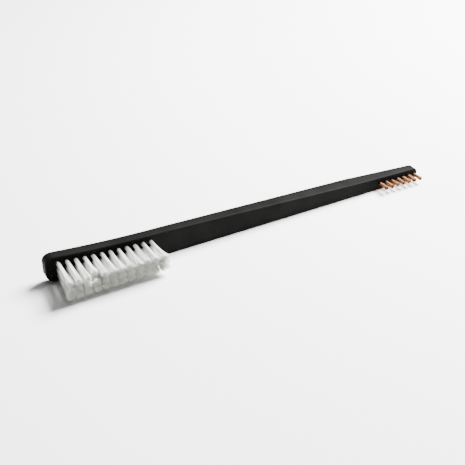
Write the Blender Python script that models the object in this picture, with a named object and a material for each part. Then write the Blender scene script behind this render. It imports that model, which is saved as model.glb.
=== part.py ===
"""Double-ended cleaning brush: one moulded handle, a nylon head and a copper wire head.

The brush lies on its side edge. X runs along the handle from the nylon end to the copper end,
the bristles point to -Y, and Z runs across the handle's width. Z = 0 is the table. The origin
is on the table, in the middle of the brush's length and of its depth, bristles included.

The handle is wider at the nylon head, so on its side it touches the table in two places: at the
nylon head's neck and at the tip of the copper head. Its centre line slopes between them.
"""

import math

import bmesh
import bpy
from mathutils import Vector

MM = 0.001
SHARP_ANGLE = math.radians(40)  # edges that turn more than this stay sharp

# Handle, in millimetres. Distances along it are measured from the tip of the nylon end, and
# depths from the straight part of its bristle side, towards its back.
LENGTH = 178.0
NECK = 47.0  # end of the nylon head, start of the taper
COPPER_NECK = 145.0  # end of the taper, start of the copper head
HEAD_WIDTH = 11.4
COPPER_WIDTH = 5.7
HEAD_THICKNESS = 4.5
SWELL = 142.0  # where the handle is thickest
SWELL_THICKNESS = 6.7
TIP_THICKNESS = 4.2
TOE_SET_BACK = 3.1  # how far the nylon end curves away from its bristles
TOE_RADIUS = 3.6  # corners of the nylon end
TIP_RADIUS = 2.2  # corners of the copper end
EDGE_RADIUS = 0.55  # long edges of the moulding
END_FILLET_SHARE = 0.8  # how much of that rounding the end faces lose
EDGE_STEPS = 2  # facets round each long edge
CORNER_STEPS = 6
TOE_STEPS = 8
ORIGIN_DEPTH = -2.6  # middle of the brush's depth, in front of the bristle side

# Blind tuft holes, moulded into the bristle side.
HOLE_DEPTH = 3.0
HOLE_SIDES = 12
CUTTER_OVERSHOOT = 1.5

# Nylon head: columns along the handle, rows across it. The trimmed ends lie in one plane, apart
# from one short bundle in the upper row, behind the toe tufts.
NYLON_ROWS = ("upper", "middle", "lower")
NYLON_COLUMNS = 12
NYLON_FIRST = 4.8  # first column, from the nylon tip
NYLON_PITCH = 3.39
NYLON_ROW_PITCH = 2.85
NYLON_HOLE = 1.9  # hole diameter
NYLON_TRIM = 12.8  # from the handle's straight face to the trimmed ends
SHORT_ROW = 1
SHORT_COLUMN = 4
SHORT_BY = 2.2
NYLON_END_ALONG = 3.0  # size of a bundle's trimmed end, along and across the handle
NYLON_END_ACROSS = 2.3
TOE_LEAN = 0.7  # how far the first column's ends lean out over the toe
HEEL_LIFT = 0.4  # how much closer each row's ends come to the row above, at the last column

# Copper head: one row of wire bundles.
COPPER_TUFTS = 7
COPPER_FIRST = 156.6
COPPER_PITCH = 3.26
COPPER_HOLE = 1.6
COPPER_TRIM = 5.1
COPPER_END = 1.95

# Bundles: folded filaments held down in their holes.
TUFT_SIDES = 10
TUFT_CLEARANCE = 0.05  # between a bundle and the wall of its hole
KNEE = 0.3  # share of the free length that keeps close to the root's size
KNEE_SPREAD = 0.15  # share of the flare reached there

# Anchor: the flat metal staple inside the fold of a copper bundle.
ANCHOR_LENGTH = 1.4
ANCHOR_HEIGHT = 1.2
ANCHOR_THICKNESS = 0.25
ANCHOR_GAP = 0.06  # between the staple and the wires folded round it
FOLD_THICKNESS = 0.5  # wires under the staple

# Colour, roughness and metallic value of each material.
BLACK_PLASTIC = ((0.018, 0.018, 0.019), 0.42, 0.0)
NYLON = ((0.86, 0.87, 0.86), 0.35, 0.0)
COPPER = ((0.83, 0.42, 0.24), 0.35, 1.0)
ANCHOR_METAL = ((0.72, 0.60, 0.36), 0.40, 1.0)


def clear_scene():
    for obj in list(bpy.data.objects):
        bpy.data.objects.remove(obj)


def material(name, look):
    colour, roughness, metallic = look
    made = bpy.data.materials.new(name)
    made.use_nodes = True
    shader = made.node_tree.nodes["Principled BSDF"]
    shader.inputs["Base Color"].default_value = (*colour, 1.0)
    shader.inputs["Roughness"].default_value = roughness
    shader.inputs["Metallic"].default_value = metallic
    return made


def add_object(name, mesh, finish=None):
    obj = bpy.data.objects.new(name, mesh)
    bpy.context.scene.collection.objects.link(obj)
    if finish is not None and not mesh.materials:
        mesh.materials.append(finish)
    return obj


def add_smooth(name, mesh, finish):
    """A round piece, shaded smooth up to its sharp edges."""
    mesh.shade_smooth()
    mesh.set_sharp_from_angle(angle=SHARP_ANGLE)
    return add_object(name, mesh, finish)


def subtract(target, name, mesh):
    """Cuts the mesh, given in the target's place, out of the target."""
    cutter = add_object(name, mesh)
    cutter.hide_render = True
    cutter.display_type = "WIRE"
    modifier = target.modifiers.new(name, "BOOLEAN")
    modifier.operation = "DIFFERENCE"
    modifier.solver = "EXACT"
    modifier.object = cutter
    return cutter


def mesh_from(name, shape):
    bmesh.ops.recalc_face_normals(shape, faces=shape.faces)
    mesh = bpy.data.meshes.new(name)
    shape.to_mesh(mesh)
    shape.free()
    return mesh


def place(along, depth, height):
    """The point at these distances along the handle, behind its bristle side, above the table."""
    return Vector((along - LENGTH / 2, depth - ORIGIN_DEPTH, height)) * MM


def blend(along, start, end, low, high):
    share = min(max((along - start) / (end - start), 0.0), 1.0)
    return low + (high - low) * share


def half_width(along):
    return blend(along, NECK, COPPER_NECK, HEAD_WIDTH / 2, COPPER_WIDTH / 2)


def thickness(along):
    if along < SWELL:
        return blend(along, NECK, SWELL, HEAD_THICKNESS, SWELL_THICKNESS)
    return blend(along, SWELL, LENGTH, SWELL_THICKNESS, TIP_THICKNESS)


def front(along):
    """Depth of the bristle side: straight, apart from the toe, which curves back."""
    return TOE_SET_BACK * (max(NECK - along, 0.0) / NECK) ** 2


def axis_height(along):
    """Height of the centre line, which slopes from the neck to the end of the copper head's side."""
    slope = (HEAD_WIDTH - COPPER_WIDTH) / 2 / (LENGTH - TIP_RADIUS - NECK)
    return HEAD_WIDTH / 2 - (along - NECK) * slope


def corner_inset(from_end, radius):
    """How far a rounded corner pulls the side in, at this distance from the end face."""
    if from_end >= radius:
        return 0.0
    return radius - math.sqrt(radius**2 - (radius - from_end) ** 2)


def stations():
    """Distances along the handle where its sections lie, closer together round the corners."""
    turn = [1 - math.cos(math.pi / 2 * step / CORNER_STEPS) for step in range(CORNER_STEPS)]
    toe_corner = [TOE_RADIUS * share for share in turn]
    toe_curve = [blend(step, 0, TOE_STEPS, TOE_RADIUS, NECK) for step in range(TOE_STEPS)]
    tip_corner = [LENGTH - TIP_RADIUS * share for share in reversed(turn)]
    middle = [NECK, SWELL, COPPER_NECK, LENGTH - TIP_RADIUS]
    return toe_corner + toe_curve + middle + tip_corner


def section(along):
    """(depth, height) points round the handle: a rectangle with rounded corners."""
    from_end = min(along, LENGTH - along)
    reach = half_width(along) - corner_inset(from_end, TOE_RADIUS if along < NECK else TIP_RADIUS)
    end_round = corner_inset(from_end, EDGE_RADIUS)
    fillet = EDGE_RADIUS - end_round * END_FILLET_SHARE
    near = front(along) + end_round + fillet
    far = front(along) + thickness(along) - end_round - fillet
    high = axis_height(along) + reach - fillet
    low = axis_height(along) - reach + fillet
    points = []
    for quarter, (depth, height) in enumerate(((far, high), (near, high), (near, low), (far, low))):
        for step in range(EDGE_STEPS + 1):
            angle = math.pi / 2 * (quarter + step / EDGE_STEPS)
            points.append((depth + fillet * math.cos(angle), height + fillet * math.sin(angle)))
    return points


def loft(shape, rings):
    """Joins rings of points into one closed body, with flat ends."""
    for current, following in zip(rings, rings[1:]):
        for side, point in enumerate(current):
            beside = (side + 1) % len(current)
            shape.faces.new((point, current[beside], following[beside], following[side]))
    shape.faces.new(rings[0])
    shape.faces.new(rings[-1])


def handle_mesh():
    shape = bmesh.new()
    sections = [[place(along, *point) for point in section(along)] for along in stations()]
    loft(shape, [[shape.verts.new(point) for point in points] for points in sections])
    return mesh_from("handle", shape)


def ring(shape, sides, centre, half_along, half_across):
    """An elliptical ring of points, in millimetres, round an axis that runs along Y."""
    points = []
    for side in range(sides):
        angle = 2 * math.pi * (side + 0.5) / sides
        offset = Vector((half_along * math.cos(angle), 0.0, half_across * math.sin(angle)))
        points.append(shape.verts.new((centre + offset) * MM))
    return points


def holes_mesh(name, places, diameter):
    """One closed cylinder for each tuft hole, from its floor to clear of the bristle side."""
    shape = bmesh.new()
    for along, height in places:
        mouth = place(along, front(along), height) / MM
        ends = (Vector((0.0, HOLE_DEPTH, 0.0)), Vector((0.0, -CUTTER_OVERSHOOT, 0.0)))
        radius = diameter / 2
        loft(shape, [ring(shape, HOLE_SIDES, mouth + end, radius, radius) for end in ends])
    return mesh_from(name, shape)


def tuft_mesh(name, hole, free, end_along, end_across, lean=(0.0, 0.0)):
    """A bundle, its hole's mouth at the origin: straight inside, then flaring to its cut end.

    lean is how far the cut end stands off the hole's axis, along and across the handle.
    """
    root = hole / 2 - TUFT_CLEARANCE
    shape = bmesh.new()
    rings = []
    floor = TUFT_CLEARANCE - HOLE_DEPTH
    for height, spread in ((floor, 0.0), (0.0, 0.0), (free * KNEE, KNEE_SPREAD), (free, 1.0)):
        share = max(height, 0.0) / free
        centre = Vector((lean[0] * share, -height, lean[1] * share))
        half_along = root + (end_along / 2 - root) * spread
        half_across = root + (end_across / 2 - root) * spread
        rings.append(ring(shape, TUFT_SIDES, centre, half_along, half_across))
    loft(shape, rings)
    return mesh_from(name, shape)


def staple_mesh(name, length, gap=0.0):
    """The staple's block, or with a gap the window it needs, from a hole's mouth at the origin."""
    height = ANCHOR_HEIGHT + gap * 2
    depth = HOLE_DEPTH - TUFT_CLEARANCE - FOLD_THICKNESS - ANCHOR_HEIGHT / 2
    shape = bmesh.new()
    bmesh.ops.create_cube(shape, size=1.0)
    bmesh.ops.scale(
        shape, vec=Vector((length, height, ANCHOR_THICKNESS + gap * 2)) * MM, verts=shape.verts
    )
    bmesh.ops.translate(shape, vec=Vector((0.0, depth, 0.0)) * MM, verts=shape.verts)
    return mesh_from(name, shape)


def copper_tuft_mesh():
    """One copper bundle with the window that its staple sits in, for all the copper tufts."""
    bundle = add_object(
        "bundle", tuft_mesh("bundle", COPPER_HOLE, COPPER_TRIM, COPPER_END, COPPER_END)
    )
    window = subtract(bundle, "window", staple_mesh("window", COPPER_HOLE * 2, ANCHOR_GAP))
    bpy.context.view_layer.update()
    cut = bundle.evaluated_get(bpy.context.evaluated_depsgraph_get())
    mesh = bpy.data.meshes.new_from_object(cut)
    mesh.name = "copper_tuft"
    bpy.data.objects.remove(bundle)
    bpy.data.objects.remove(window)
    return mesh


def nylon_places():
    """(row, column, along, height) of each nylon hole. Rows and columns count from 1."""
    found = []
    middle_row = (len(NYLON_ROWS) + 1) / 2
    for row in range(1, len(NYLON_ROWS) + 1):
        for column in range(1, NYLON_COLUMNS + 1):
            along = NYLON_FIRST + NYLON_PITCH * (column - 1)
            height = axis_height(along) + NYLON_ROW_PITCH * (middle_row - row)
            found.append((row, column, along, height))
    return found


def copper_places():
    """(along, height) of each copper hole."""
    places = [COPPER_FIRST + COPPER_PITCH * tuft for tuft in range(COPPER_TUFTS)]
    return [(along, axis_height(along)) for along in places]


def build_handle(finish):
    handle = add_smooth("handle", handle_mesh(), finish)
    nylon = [(along, height) for _, _, along, height in nylon_places()]
    subtract(handle, "nylon_holes", holes_mesh("nylon_holes", nylon, NYLON_HOLE))
    subtract(handle, "copper_holes", holes_mesh("copper_holes", copper_places(), COPPER_HOLE))


def build_nylon_tufts(finish):
    for row, column, along, height in nylon_places():
        free = NYLON_TRIM + front(along)
        if (row, column) == (SHORT_ROW, SHORT_COLUMN):
            free -= SHORT_BY
        heel_share = (column - 1) / (NYLON_COLUMNS - 1)
        lean = (-TOE_LEAN * (1 - heel_share) ** 2, HEEL_LIFT * heel_share * (row - 1))
        name = f"nylon_tuft_{NYLON_ROWS[row - 1]}_{column:02d}"
        mesh = tuft_mesh(name, NYLON_HOLE, free, NYLON_END_ALONG, NYLON_END_ACROSS, lean)
        add_smooth(name, mesh, finish).location = place(along, front(along), height)


def build_copper_tufts(finish, anchor_finish):
    bundle = copper_tuft_mesh()
    staple = staple_mesh("anchor", ANCHOR_LENGTH)
    for number, (along, height) in enumerate(copper_places(), start=1):
        mouth = place(along, front(along), height)
        add_smooth(f"copper_tuft_{number}", bundle, finish).location = mouth
        add_object(f"copper_anchor_{number}", staple, anchor_finish).location = mouth


def main():
    clear_scene()
    build_handle(material("black_plastic", BLACK_PLASTIC))
    build_nylon_tufts(material("nylon_bristle", NYLON))
    build_copper_tufts(material("copper_wire", COPPER), material("anchor_metal", ANCHOR_METAL))


main()
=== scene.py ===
"""Looks of a double-ended cleaning brush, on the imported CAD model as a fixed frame.

Each solid bundle of the frame is replaced by its separate filaments, folded round a staple, and
the handle by a more finely rounded moulding. Lengths are in millimetres unless a comment says
otherwise, and MM turns them into metres.
"""

import math
import random

import bmesh
import bpy
from mathutils import Matrix, Vector


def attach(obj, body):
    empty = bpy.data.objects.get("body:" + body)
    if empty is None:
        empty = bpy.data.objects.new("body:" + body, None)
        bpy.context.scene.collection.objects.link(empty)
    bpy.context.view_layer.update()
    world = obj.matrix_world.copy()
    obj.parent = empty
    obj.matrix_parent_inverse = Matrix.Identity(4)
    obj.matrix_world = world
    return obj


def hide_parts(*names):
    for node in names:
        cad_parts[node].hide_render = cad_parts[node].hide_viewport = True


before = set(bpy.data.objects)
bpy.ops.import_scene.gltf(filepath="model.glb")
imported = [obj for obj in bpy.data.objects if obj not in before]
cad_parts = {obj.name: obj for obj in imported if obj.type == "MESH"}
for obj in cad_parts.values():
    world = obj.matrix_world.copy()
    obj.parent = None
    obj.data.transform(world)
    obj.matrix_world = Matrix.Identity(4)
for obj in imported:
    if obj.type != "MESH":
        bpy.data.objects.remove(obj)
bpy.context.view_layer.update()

MM = 0.001
SEED = 29

# Handle, with the same driving dimensions as the frame's. Distances along it run from the tip of
# the nylon end, and depths from the straight part of its bristle side.
LENGTH = 178.0
NECK = 47.0
COPPER_NECK = 145.0
HEAD_WIDTH = 11.4
COPPER_WIDTH = 5.7
HEAD_THICKNESS = 4.5
SWELL = 142.0
SWELL_THICKNESS = 6.7
TIP_THICKNESS = 4.2
TOE_SET_BACK = 3.1
TOE_RADIUS = 3.6
TIP_RADIUS = 2.2
EDGE_RADIUS = 0.55
END_FILLET_SHARE = 0.8
EDGE_STEPS = 6
CORNER_STEPS = 14
TOE_STEPS = 40
FRONT_Y = 2.6  # where the straight part of the bristle side lies in the frame
SHARP_ANGLE = math.radians(35)

# Blind tuft holes.
HOLE_DEPTH = 3.0
HOLE_SIDES = 28
NYLON_HOLE = 1.9
COPPER_HOLE = 1.6
CUTTER_OVERSHOOT = 1.5
SEATED = 2.95  # how deep a bundle reaches into its hole
FLAT_END = 0.01  # how far the points of a bundle's flat end may lie from its plane

# A kind of bundle: its filaments are folded in half, so each shows two ends. fill is how far the
# loose ends stand out of the frame's solid, along and across the handle, and square is how far
# they spread into the corners between neighbouring bundles. flare is the power of the widening from
# the mouth of the hole to the trimmed end. Filaments differ by trim in length, by bow in how they
# arc and by spread in how far their tips lean, and a share of them, strays, lean stray_reach more.
# They are darker over the shade length nearest the handle, down to a root tone at the mouth. This
# darkening is painted shade: it stands in for the handle's shade and for its black showing between
# them.
NYLON = {
    "folded": 34,
    "wire": 0.20,
    "sides": 6,
    "stations": 6,
    "trim": 0.30,
    "bow": 0.14,
    "spread": 0.22,
    "strays": 0.03,
    "stray_reach": 0.6,
    "fill": (1.20, 1.32),
    "square": 0.55,
    "flare": 2.6,
    "shade": 5.0,
    "painted_root_shade": 0.0,
}
COPPER = {
    "folded": 19,
    "wire": 0.22,
    "sides": 8,
    "stations": 4,
    "trim": 0.12,
    "bow": 0.03,
    "spread": 0.05,
    "strays": 0.0,
    "stray_reach": 0.0,
    "fill": (1.12, 1.12),
    "square": 0.0,
    "flare": 0.8,
    "shade": 1.5,
    "painted_root_shade": 0.7,
}
FOLD_STEPS = 4
FOLD_TUCK = 0.9  # of the room beside the staple that the fold's filaments use
FOLD_DROP = (0.55, 1.0)  # of the room under the staple that the innermost and outermost folds use
MOST_TRIES = 8  # for each place in a bundle
TRIM_RANGE = (-1.0, 0.3)  # of a kind's trim, from the shortest filament to the longest
CENTRE = 0.001  # share of a bundle's radius within which a filament counts as central
LEG_JITTER = 0.10  # of a leg's place in the bundle, as a share of its radius
LOWEST_TONE = 0.6  # of the darkest filament, where the palest one's tone is 1
HEEL_BUNDLE = "_12"  # last of a nylon row, on the handle side, where nothing holds it in
HEEL_SPLAY = 1.0  # how far that bundle's outer filaments lean out
GOLDEN_ANGLE = math.pi * (3 - math.sqrt(5))

# Staples of the nylon bundles. The copper bundles' own are nodes of the frame.
STAPLE_LENGTH = 1.8
STAPLE_HEIGHT = 1.2
STAPLE_THICKNESS = 0.25
STAPLE_DEPTH = 1.85  # of its middle below the mouth of the hole
STAPLE_BEVEL = 0.05
STAPLE_BEVEL_STEPS = 2

# Darkest and palest colour of each finish. Filaments run towards their darkest colour near the
# handle, as painted shade.
PLASTIC_TONES = ((0.0032, 0.0033, 0.0030), (0.0056, 0.0057, 0.0053))
NYLON_TONES = ((0.15, 0.157, 0.14), (0.93, 0.94, 0.915))
# The darkness of the nylon cut ends is painted shade.
NYLON_CUT_PAINTED_SHADE_TONES = ((0.0, 0.0, 0.0), (0.195, 0.21, 0.105))
COPPER_TONES = ((0.13, 0.05, 0.022), (0.52, 0.27, 0.14))
# The near-black of the copper cut ends is painted shade.
COPPER_CUT_PAINTED_SHADE_TONES = ((0.0, 0.0, 0.0), (0.032, 0.016, 0.008))
STAPLE_TONES = ((0.62, 0.50, 0.29), (0.78, 0.66, 0.42))
NOISE_LOW = 0.3  # most of a noise lies from here
NOISE_HIGH = 0.7  # to here

# Viewing angle in degrees, and what the camera looks at.
CAMERA_AZIMUTH = -29.95
CAMERA_ELEVATION = 33.57
CAMERA_ROLL = 0.68
CAMERA_DISTANCE = 347.92
CAMERA_TARGET = (-9.71, 2.6, 1.06)
CAMERA_LENS = 64.46
SENSOR_WIDTH = 36.0
CLIP_START = 0.01  # metres

# Studio. Lamps are (name, azimuth, elevation, distance, size, watts) round the brush.
FLOOR_SIZE = 4000.0
FLOOR_COLOUR = (0.76, 0.76, 0.76, 1.0)
FLOOR_ROUGHNESS = 0.9
LAMPS = (
    ("key", 102.0, 49.0, 700.0, 400.0, 54.0),
    ("overhead", 60.0, 84.0, 900.0, 700.0, 2.0),
)
WORLD_COLOUR = (0.98, 1.0, 0.93)
WORLD_STRENGTH = 0.13


def blend(along, start, end, low, high):
    share = min(max((along - start) / (end - start), 0.0), 1.0)
    return low + (high - low) * share


def half_width(along):
    return blend(along, NECK, COPPER_NECK, HEAD_WIDTH / 2, COPPER_WIDTH / 2)


def thickness(along):
    if along < SWELL:
        return blend(along, NECK, SWELL, HEAD_THICKNESS, SWELL_THICKNESS)
    return blend(along, SWELL, LENGTH, SWELL_THICKNESS, TIP_THICKNESS)


def front(along):
    """Depth of the bristle side: straight, apart from the toe, which curves back."""
    return TOE_SET_BACK * (max(NECK - along, 0.0) / NECK) ** 2


def axis_height(along):
    """Height of the handle's centre line over the table."""
    slope = (HEAD_WIDTH - COPPER_WIDTH) / 2 / (LENGTH - TIP_RADIUS - NECK)
    return HEAD_WIDTH / 2 - (along - NECK) * slope


def place(along, depth, height):
    """A point of the frame, in metres, from distances in the handle's own terms."""
    return Vector((along - LENGTH / 2, depth + FRONT_Y, height)) * MM


def corner_inset(from_end, radius):
    """How far a rounded corner pulls the side in, at this distance from the end face."""
    if from_end >= radius:
        return 0.0
    return radius - math.sqrt(radius**2 - (radius - from_end) ** 2)


def stations():
    """Distances along the handle where its sections lie, closer together round the corners."""
    turn = [1 - math.cos(math.pi / 2 * step / CORNER_STEPS) for step in range(CORNER_STEPS)]
    toe_corner = [TOE_RADIUS * share for share in turn]
    toe_curve = [blend(step, 0, TOE_STEPS, TOE_RADIUS, NECK) for step in range(TOE_STEPS)]
    middle = [NECK, SWELL, COPPER_NECK, LENGTH - TIP_RADIUS]
    tip_corner = [LENGTH - TIP_RADIUS * share for share in reversed(turn)]
    return toe_corner + toe_curve + middle + tip_corner


def section(along):
    """(depth, height) points round the handle: a rectangle with rounded corners."""
    from_end = min(along, LENGTH - along)
    reach = half_width(along) - corner_inset(from_end, TOE_RADIUS if along < NECK else TIP_RADIUS)
    end_round = corner_inset(from_end, EDGE_RADIUS)
    fillet = EDGE_RADIUS - end_round * END_FILLET_SHARE
    near = front(along) + end_round + fillet
    far = front(along) + thickness(along) - end_round - fillet
    high = axis_height(along) + reach - fillet
    low = axis_height(along) - reach + fillet
    points = []
    for quarter, (depth, height) in enumerate(((far, high), (near, high), (near, low), (far, low))):
        for step in range(EDGE_STEPS + 1):
            angle = math.pi / 2 * (quarter + step / EDGE_STEPS)
            points.append((depth + fillet * math.cos(angle), height + fillet * math.sin(angle)))
    return points


def loft(shape, rings):
    """Joins rings of vertices into one closed body, and returns its two flat ends."""
    for current, following in zip(rings, rings[1:]):
        for side, point in enumerate(current):
            beside = (side + 1) % len(current)
            shape.faces.new((point, current[beside], following[beside], following[side]))
    return shape.faces.new(rings[0]), shape.faces.new(rings[-1])


def mesh_from(name, shape):
    bmesh.ops.recalc_face_normals(shape, faces=shape.faces)
    mesh = bpy.data.meshes.new(name)
    shape.to_mesh(mesh)
    shape.free()
    return mesh


def add_piece(name, mesh, *finishes):
    """A piece of the object: smooth up to its sharp edges, and riding on the one body."""
    mesh.shade_smooth()
    mesh.set_sharp_from_angle(angle=SHARP_ANGLE)
    for finish in finishes:
        mesh.materials.append(finish)
    obj = bpy.data.objects.new(name, mesh)
    bpy.context.scene.collection.objects.link(obj)
    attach(obj, "root")
    return obj


# Materials


def set_values(node, values):
    """Sets a node's sockets, named with _ for each space."""
    for key, value in values.items():
        node.inputs[key.replace("_", " ")].default_value = value


def new_material(name, **values):
    """A material and its Principled shader, with these plain values on the shader's sockets."""
    made = bpy.data.materials.new(name)
    made.use_nodes = True
    shader = made.node_tree.nodes["Principled BSDF"]
    set_values(shader, values)
    return made, shader


def add_node(made, kind, **values):
    node = made.node_tree.nodes.new(kind)
    set_values(node, values)
    return node


def noise(made, size, detail=3.0, stretch=(1.0, 1.0, 1.0)):
    """Noise with features of about this size, longer along an axis whose stretch is under 1."""
    place_node = made.node_tree.nodes.new("ShaderNodeTexCoord")
    mapping = made.node_tree.nodes.new("ShaderNodeMapping")
    mapping.inputs["Scale"].default_value = stretch
    field = add_node(made, "ShaderNodeTexNoise", Scale=1.0 / (size * MM), Detail=detail)
    made.node_tree.links.new(place_node.outputs["Object"], mapping.inputs["Vector"])
    made.node_tree.links.new(mapping.outputs["Vector"], field.inputs["Vector"])
    return field


def ramp(made, source, stops):
    """A colour ramp over the source's value. stops are (position, colour)."""
    node = made.node_tree.nodes.new("ShaderNodeValToRGB")
    elements = node.color_ramp.elements
    while len(elements) < len(stops):
        elements.new(1.0)
    for element, (position, colour) in zip(elements, stops):
        element.position = position
        element.color = (*colour, 1.0)
    made.node_tree.links.new(source, node.inputs["Fac"])
    return node.outputs["Color"]


def spread_values(made, source, low, high):
    """The range where most of a noise lies, mapped to low and high."""
    node = made.node_tree.nodes.new("ShaderNodeMapRange")
    node.inputs["From Min"].default_value = NOISE_LOW
    node.inputs["From Max"].default_value = NOISE_HIGH
    node.inputs["To Min"].default_value = low
    node.inputs["To Max"].default_value = high
    made.node_tree.links.new(source, node.inputs["Value"])
    return node.outputs["Result"]


def add_bump(made, shader, source, distance, strength):
    bump = add_node(made, "ShaderNodeBump", Strength=strength, Distance=distance * MM)
    made.node_tree.links.new(source, bump.inputs["Height"])
    made.node_tree.links.new(bump.outputs["Normal"], shader.inputs["Normal"])


def black_plastic():
    """Moulded plastic: an eggshell grain in its gloss, and faint clouds in its colour."""
    made, shader = new_material("black_plastic", Specular_IOR_Level=0.02)
    clouds = noise(made, size=9.0)
    grain = noise(made, size=0.22, detail=2.0)
    stops = ((NOISE_LOW, PLASTIC_TONES[0]), (NOISE_HIGH, PLASTIC_TONES[1]))
    colour = ramp(made, clouds.outputs["Fac"], stops)
    made.node_tree.links.new(colour, shader.inputs["Base Color"])
    gloss = spread_values(made, grain.outputs["Fac"], low=0.48, high=0.62)
    made.node_tree.links.new(gloss, shader.inputs["Roughness"])
    add_bump(made, shader, grain.outputs["Fac"], distance=0.02, strength=0.4)
    return made


def filament_tone_and_shade(made, shader, dark, light):
    """Colour from the tone on the mesh: each filament's own, darker towards the handle as painted
    shade.
    """
    tone_and_shade = made.node_tree.nodes.new("ShaderNodeAttribute")
    tone_and_shade.attribute_name = "tone_and_shade"
    colour = ramp(made, tone_and_shade.outputs["Fac"], ((0.0, dark), (1.0, light)))
    made.node_tree.links.new(colour, shader.inputs["Base Color"])


def nylon():
    """Milky monofilament, which passes some light."""
    made, shader = new_material(
        "nylon_bristle",
        Roughness=0.38,
        Subsurface_Weight=0.06,
        Subsurface_Radius=(1.0, 1.0, 0.85),
        Subsurface_Scale=0.4 * MM,
    )
    filament_tone_and_shade(made, shader, *NYLON_TONES)
    draw = noise(made, size=0.12, detail=2.0, stretch=(1.0, 0.12, 1.0))
    add_bump(made, shader, draw.outputs["Fac"], distance=0.01, strength=0.4)
    return made


def nylon_cut_painted_shade():
    """The sheared end of a filament: rougher, and darker and yellower than its side, which is
    painted shade.
    """
    made, shader = new_material("nylon_cut_painted_shade", Roughness=0.6)
    filament_tone_and_shade(made, shader, *NYLON_CUT_PAINTED_SHADE_TONES)
    shear = noise(made, size=0.06)
    add_bump(made, shader, shear.outputs["Fac"], distance=0.01, strength=0.6)
    return made


def copper():
    """Drawn copper-coloured wire, duller along fine lines."""
    made, shader = new_material("copper_wire", Metallic=1.0)
    filament_tone_and_shade(made, shader, *COPPER_TONES)
    draw = noise(made, size=0.10, detail=2.0, stretch=(1.0, 0.1, 1.0))
    gloss = spread_values(made, draw.outputs["Fac"], low=0.42, high=0.60)
    made.node_tree.links.new(gloss, shader.inputs["Roughness"])
    add_bump(made, shader, draw.outputs["Fac"], distance=0.008, strength=0.5)
    return made


def copper_cut_painted_shade():
    """The sheared end of a wire: dull, and nearly black, which is painted shade."""
    made, shader = new_material("copper_cut_painted_shade", Roughness=0.6, Specular_IOR_Level=0.05)
    filament_tone_and_shade(made, shader, *COPPER_CUT_PAINTED_SHADE_TONES)
    shear = noise(made, size=0.07)
    add_bump(made, shader, shear.outputs["Fac"], distance=0.01, strength=0.6)
    return made


def staple_metal():
    """Flat anchor wire, rolled, with faint scratches along it."""
    made, shader = new_material("anchor_metal", Metallic=1.0)
    scratches = noise(made, size=0.10, stretch=(0.15, 1.0, 1.0))
    stops = ((NOISE_LOW, STAPLE_TONES[0]), (NOISE_HIGH, STAPLE_TONES[1]))
    colour = ramp(made, scratches.outputs["Fac"], stops)
    made.node_tree.links.new(colour, shader.inputs["Base Color"])
    gloss = spread_values(made, scratches.outputs["Fac"], low=0.3, high=0.5)
    made.node_tree.links.new(gloss, shader.inputs["Roughness"])
    return made


# Bundles


def end_ring(node, at_tip):
    """(centre, half sizes) of a bundle's flat end, in millimetres, read from its frame solid."""
    points = [vertex.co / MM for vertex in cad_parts[node].data.vertices]
    edge = min(p.y for p in points) if at_tip else max(p.y for p in points)
    ring = [p for p in points if abs(p.y - edge) < FLAT_END]
    low = Vector([min(p[axis] for p in ring) for axis in range(3)])
    high = Vector([max(p[axis] for p in ring) for axis in range(3)])
    return (low + high) / 2, (high - low) / 2


def bundle_shape(node):
    """The bundle's mouth, sizes and splay, read from its frame solid and its name."""
    floor, root = end_ring(node, at_tip=False)
    tip, end = end_ring(node, at_tip=True)
    mouth = floor - Vector((0.0, SEATED, 0.0))
    return {
        "mouth": mouth,
        "root": root.x,
        "tip": tip - mouth,
        "end": (end.x, end.z),
        "splay": HEEL_SPLAY if node.endswith(HEEL_BUNDLE) else 0.0,
    }


def half_disc(count):
    """Evenly spread places in the upper half of a unit disc."""
    places = []
    number = 0
    while len(places) < count:
        radius = math.sqrt((number + 0.5) / (2 * count))
        angle = GOLDEN_ANGLE * number
        if math.sin(angle) >= 0.0 and radius < 1.0:
            places.append((radius * math.cos(angle), radius * math.sin(angle)))
        number += 1
        if number > MOST_TRIES * count:
            raise ValueError("the half disc has too few places")
    return places


def leg(rng, kind, bundle, across, up):
    """Points of half a filament, from the mouth of the hole to its cut tip."""
    across += rng.uniform(-LEG_JITTER, LEG_JITTER)
    up += rng.uniform(-LEG_JITTER, LEG_JITTER)
    over = max(math.hypot(across, up), 1.0)
    across /= over
    up /= over
    inside = 1.0 - kind["wire"] / 2 / bundle["root"]
    length = -bundle["tip"].y + rng.uniform(*TRIM_RANGE) * kind["trim"]
    turn = rng.uniform(0.0, 2 * math.pi)
    reach = rng.uniform(0.0, kind["spread"])
    if rng.random() < kind["strays"]:
        reach += kind["stray_reach"]
    bow = rng.uniform(-1.0, 1.0) * kind["bow"]
    corner = math.hypot(across, up) / max(abs(across), abs(up), CENTRE) - 1.0
    points = []
    for step in range(kind["stations"]):
        share = step / (kind["stations"] - 1)
        flare = share ** kind["flare"]
        half_x = bundle["root"] + (bundle["end"][0] * kind["fill"][0] - bundle["root"]) * flare
        half_z = bundle["root"] + (bundle["end"][1] * kind["fill"][1] - bundle["root"]) * flare
        widen = inside * (1.0 + corner * kind["square"] * flare)
        swing = bow * math.sin(math.pi * share) + reach * share**2
        splay = bundle["splay"] * max(across, 0.0) * flare
        points.append(Vector((
            bundle["tip"].x * share + across * widen * half_x + swing * math.cos(turn) + splay,
            -length * share,
            bundle["tip"].z * share + up * widen * half_z + swing * math.sin(turn),
        )))
    return points


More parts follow.
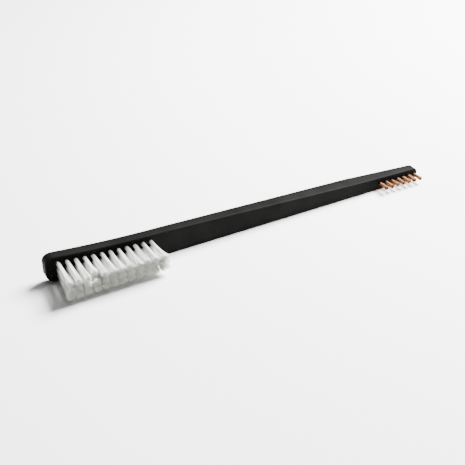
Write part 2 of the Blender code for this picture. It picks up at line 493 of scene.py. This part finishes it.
def filament(rng, kind, bundle, across, up):
    """Points of one folded filament: tip, hole, round under the staple, hole, tip."""
    clear = STAPLE_THICKNESS / 2 + kind["wire"] / 2
    widest = bundle["root"] - kind["wire"] / 2
    side = clear + (widest - clear) * up * FOLD_TUCK
    along = across * widest * FOLD_TUCK
    start = STAPLE_DEPTH - STAPLE_HEIGHT / 2
    turn = STAPLE_DEPTH + STAPLE_HEIGHT / 2
    room = SEATED - kind["wire"] / 2 - turn
    drop = room * blend(side, clear, widest, *FOLD_DROP)
    upper = leg(rng, kind, bundle, across, up)
    lower = leg(rng, kind, bundle, across, -up)
    fold = [Vector((along, start, side)), Vector((along, turn, side))]
    for step in range(1, FOLD_STEPS):
        angle = math.pi * step / FOLD_STEPS
        fold.append(Vector((along, turn + drop * math.sin(angle), side * math.cos(angle))))
    fold += [Vector((along, turn, -side)), Vector((along, start, -side))]
    return list(reversed(upper)) + fold + lower


def add_tube(shape, points, wire, sides, tone_and_shade_layer, tones_and_shades):
    """A round tube along the points, in millimetres, with its cut ends in the second slot."""
    rings = []
    for number, point in enumerate(points):
        before = points[max(number - 1, 0)]
        after = points[min(number + 1, len(points) - 1)]
        forward = (after - before).normalized()
        right = Vector((1.0, 0.0, 0.0))
        right = (right - forward * right.dot(forward)).normalized()
        up = forward.cross(right)
        ring = []
        for side in range(sides):
            angle = 2 * math.pi * side / sides
            offset = (right * math.cos(angle) + up * math.sin(angle)) * wire / 2
            vertex = shape.verts.new((point + offset) * MM)
            vertex[tone_and_shade_layer] = tones_and_shades[number]
            ring.append(vertex)
        rings.append(ring)
    for cap in loft(shape, rings):
        cap.material_index = 1


def add_bundle(node, kind, finish, cut_finish):
    """The filaments of one bundle, in place of its frame solid."""
    rng = random.Random(f"{SEED} {node}")
    bundle = bundle_shape(node)
    shape = bmesh.new()
    tone_and_shade_layer = shape.verts.layers.float.new("tone_and_shade")
    for across, up in half_disc(kind["folded"]):
        points = filament(rng, kind, bundle, across, up)
        own = blend(rng.random(), 0.0, 1.0, LOWEST_TONE, 1.0)
        # Painted shade: each filament darkens towards the handle, down to the root tone at the
        # mouth.
        shades = [blend(-point.y, 0.0, kind["shade"], kind["painted_root_shade"], 1.0) for point in points]
        tones_and_shades = [own * shade for shade in shades]
        points = [bundle["mouth"] + point for point in points]
        add_tube(shape, points, kind["wire"], kind["sides"], tone_and_shade_layer, tones_and_shades)
    piece = add_piece(f"{node}_filaments", mesh_from(node, shape), finish, cut_finish)
    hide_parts(node)
    return piece


def add_staple(node, finish):
    """The flat staple in the fold of a nylon bundle."""
    bundle = bundle_shape(node)
    shape = bmesh.new()
    bmesh.ops.create_cube(shape, size=1.0)
    size = Vector((STAPLE_LENGTH, STAPLE_HEIGHT, STAPLE_THICKNESS)) * MM
    bmesh.ops.scale(shape, vec=size, verts=shape.verts)
    bmesh.ops.bevel(
        shape,
        geom=shape.edges[:],
        offset=STAPLE_BEVEL * MM,
        segments=STAPLE_BEVEL_STEPS,
        affect="EDGES",
    )
    middle = (bundle["mouth"] + Vector((0.0, STAPLE_DEPTH, 0.0))) * MM
    bmesh.ops.translate(shape, vec=middle, verts=shape.verts)
    name = node.replace("tuft", "anchor")
    add_piece(name, mesh_from(name, shape), finish)


# Handle


def holes_mesh(nodes, diameter):
    """One closed cylinder for each bundle's hole, from its floor to clear of the bristle side."""
    shape = bmesh.new()
    for node in nodes:
        mouth = bundle_shape(node)["mouth"]
        rings = []
        for depth in (HOLE_DEPTH, -CUTTER_OVERSHOOT):
            ring = []
            for side in range(HOLE_SIDES):
                angle = 2 * math.pi * (side + 0.5) / HOLE_SIDES
                offset = Vector((math.cos(angle), 0.0, math.sin(angle))) * diameter / 2
                ring.append(shape.verts.new((mouth + offset + Vector((0.0, depth, 0.0))) * MM))
            rings.append(ring)
        loft(shape, rings)
    return mesh_from("holes", shape)


def cut(mesh, cutter_mesh):
    """The mesh with the cutter's shape taken out of it."""
    body = bpy.data.objects.new("body", mesh)
    cutter = bpy.data.objects.new("cutter", cutter_mesh)
    for obj in (body, cutter):
        bpy.context.scene.collection.objects.link(obj)
    modifier = body.modifiers.new("holes", "BOOLEAN")
    modifier.operation = "DIFFERENCE"
    modifier.solver = "EXACT"
    modifier.object = cutter
    bpy.context.view_layer.update()
    evaluated = body.evaluated_get(bpy.context.evaluated_depsgraph_get())
    done = bpy.data.meshes.new_from_object(evaluated)
    for obj in (body, cutter):
        bpy.data.objects.remove(obj)
    return done


def add_handle(nylon_nodes, copper_nodes, finish):
    shape = bmesh.new()
    sections = [[place(along, *point) for point in section(along)] for along in stations()]
    loft(shape, [[shape.verts.new(point) for point in points] for points in sections])
    mesh = mesh_from("handle", shape)
    mesh = cut(mesh, holes_mesh(nylon_nodes, NYLON_HOLE))
    mesh = cut(mesh, holes_mesh(copper_nodes, COPPER_HOLE))
    mesh.materials.clear()
    piece = add_piece("handle_moulding", mesh, finish)
    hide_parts("handle")


# Studio


def from_angles(azimuth, elevation):
    """The direction from the brush towards these angles: azimuth 0 is -Y."""
    a = math.radians(azimuth)
    e = math.radians(elevation)
    return Vector((math.sin(a) * math.cos(e), -math.cos(a) * math.cos(e), math.sin(e)))


def add_camera():
    data = bpy.data.cameras.new("camera")
    data.lens = CAMERA_LENS
    data.sensor_width = SENSOR_WIDTH
    data.clip_start = CLIP_START
    back = from_angles(CAMERA_AZIMUTH, CAMERA_ELEVATION)
    a = math.radians(CAMERA_AZIMUTH)
    level = Vector((math.cos(a), math.sin(a), 0.0))
    rolled = Matrix.Rotation(math.radians(CAMERA_ROLL), 3, back)
    right = rolled @ level
    up = rolled @ back.cross(level)
    camera = bpy.data.objects.new("camera", data)
    camera.matrix_world = Matrix((right, up, back)).transposed().to_4x4()
    camera.location = (Vector(CAMERA_TARGET) + back * CAMERA_DISTANCE) * MM
    bpy.context.scene.collection.objects.link(camera)
    bpy.context.scene.camera = camera


def add_floor():
    half = FLOOR_SIZE / 2 * MM
    mesh = bpy.data.meshes.new("floor")
    corners = ((-half, -half, 0), (half, -half, 0), (half, half, 0), (-half, half, 0))
    mesh.from_pydata(corners, [], [(0, 1, 2, 3)])
    made, _ = new_material("floor", Base_Color=FLOOR_COLOUR, Roughness=FLOOR_ROUGHNESS)
    mesh.materials.append(made)
    floor = bpy.data.objects.new("floor", mesh)
    bpy.context.scene.collection.objects.link(floor)


def add_lamps():
    for name, azimuth, elevation, distance, size, watts in LAMPS:
        data = bpy.data.lights.new(name, "AREA")
        data.shape = "DISK"
        data.size = size * MM
        data.energy = watts
        towards = from_angles(azimuth, elevation)
        lamp = bpy.data.objects.new(name, data)
        lamp.location = towards * distance * MM
        lamp.rotation_euler = towards.to_track_quat("Z", "Y").to_euler()
        bpy.context.scene.collection.objects.link(lamp)


def add_world():
    world = bpy.data.worlds.new("studio")
    world.use_nodes = True
    background = world.node_tree.nodes["Background"]
    background.inputs["Color"].default_value = (*WORLD_COLOUR, 1.0)
    background.inputs["Strength"].default_value = WORLD_STRENGTH
    bpy.context.scene.world = world


def main():
    nylon_nodes = sorted(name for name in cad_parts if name.startswith("nylon_tuft"))
    copper_nodes = sorted(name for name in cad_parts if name.startswith("copper_tuft"))
    anchors = sorted(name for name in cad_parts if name.startswith("copper_anchor"))
    metal = staple_metal()
    add_camera()
    add_floor()
    add_lamps()
    add_world()
    add_handle(nylon_nodes, copper_nodes, black_plastic())
    nylon_side, nylon_shaded_end = nylon(), nylon_cut_painted_shade()
    for node in nylon_nodes:
        add_bundle(node, NYLON, nylon_side, nylon_shaded_end)
        add_staple(node, metal)
    copper_side, copper_shaded_end = copper(), copper_cut_painted_shade()
    for node in copper_nodes:
        add_bundle(node, COPPER, copper_side, copper_shaded_end)
    for node in anchors:
        for material_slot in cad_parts[node].material_slots:
            material_slot.material = metal


main()
